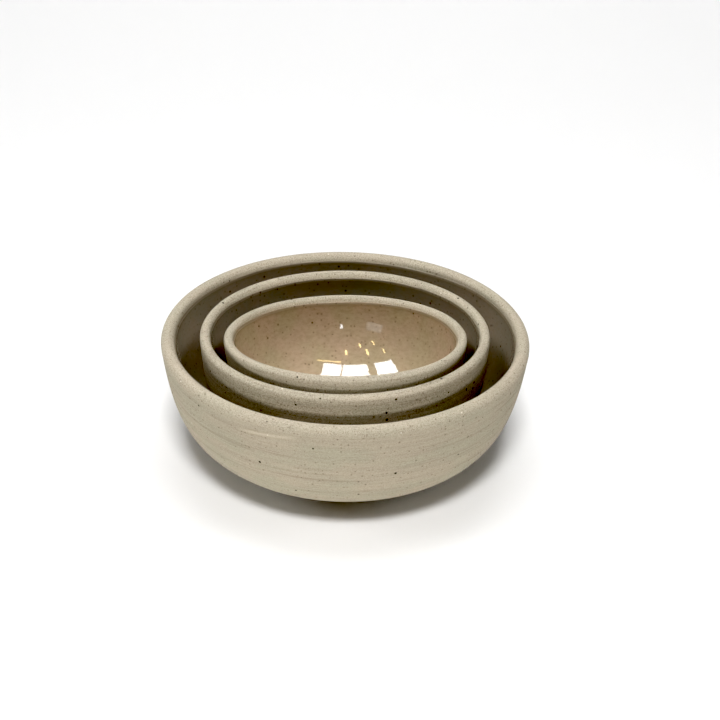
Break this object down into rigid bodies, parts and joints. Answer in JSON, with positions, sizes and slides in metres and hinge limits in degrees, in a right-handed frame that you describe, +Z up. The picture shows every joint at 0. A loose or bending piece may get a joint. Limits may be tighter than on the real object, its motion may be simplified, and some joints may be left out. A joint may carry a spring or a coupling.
{
  "type": "nesting stoneware bowls",
  "caption": "Nest of round hand-thrown stoneware bowls, matte speckled clay outside and glossy beige glaze inside, each bowl resting loose in the next.",
  "frame": {"origin": "centre of the outer bowl's foot, on the surface that the nest stands on", "axes": "+Z up; +Y towards the back, the way the two upper bowls lean; +X to the right"},
  "size_m": [0.14, 0.14, 0.0632],
  "materials": {
    "clay": "matte, speckled, fine throwing lines",
    "glaze": "glossy, speckled"
  },
  "bodies": {
    "outer": {"outer_bowl": "clay", "outer_glaze": "glaze"},
    "middle": {"middle_bowl": "clay", "middle_glaze": "glaze"},
    "inner": {"inner_bowl": "clay", "inner_glaze": "glaze"}
  },
  "joints": [
    {"name": "middle_lift", "type": "slide", "parent": "outer", "child": "middle", "axis": [0, 0, 1], "range_m": [0, 0.07]},
    {"name": "inner_lift", "type": "slide", "parent": "middle", "child": "inner", "axis": [0, 0, 1], "range_m": [0, 0.07]}
  ]
}
